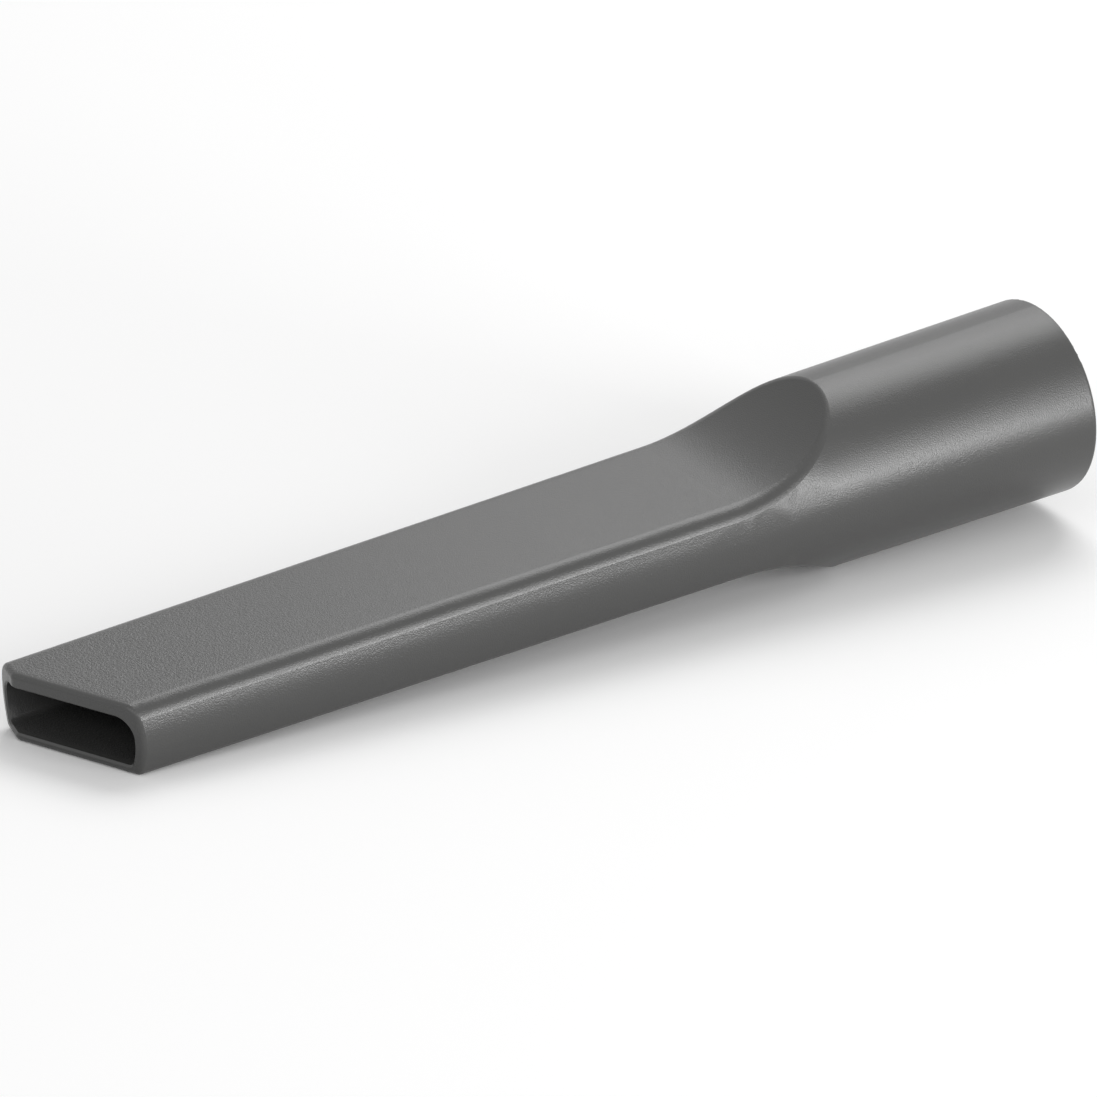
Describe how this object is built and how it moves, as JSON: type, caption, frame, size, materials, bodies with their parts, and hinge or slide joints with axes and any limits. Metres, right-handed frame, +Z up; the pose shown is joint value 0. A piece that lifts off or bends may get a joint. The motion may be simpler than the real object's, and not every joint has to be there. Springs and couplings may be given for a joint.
{
  "type": "vacuum crevice tool",
  "caption": "Slim hollow crevice nozzle: round wand socket, scooped transition to a flattened duct, mouth cut off aslant.",
  "frame": {"origin": "centre of the socket's open end, on the socket's axis", "axes": "+X out of the socket, the way the wand leaves, within the 4.2 degrees that the tool's axis dips toward the mouth where it lies, rolled 1.9 degrees about it; +Y to the far side, where the mouth's tip reaches farthest; +Z up"},
  "size_m": [0.2217, 0.039, 0.042],
  "materials": {
    "moulding": "dark grey plastic with a fine matt grain"
  },
  "bodies": {
    "root": {"crevice_nozzle": "moulding"}
  },
  "joints": []
}
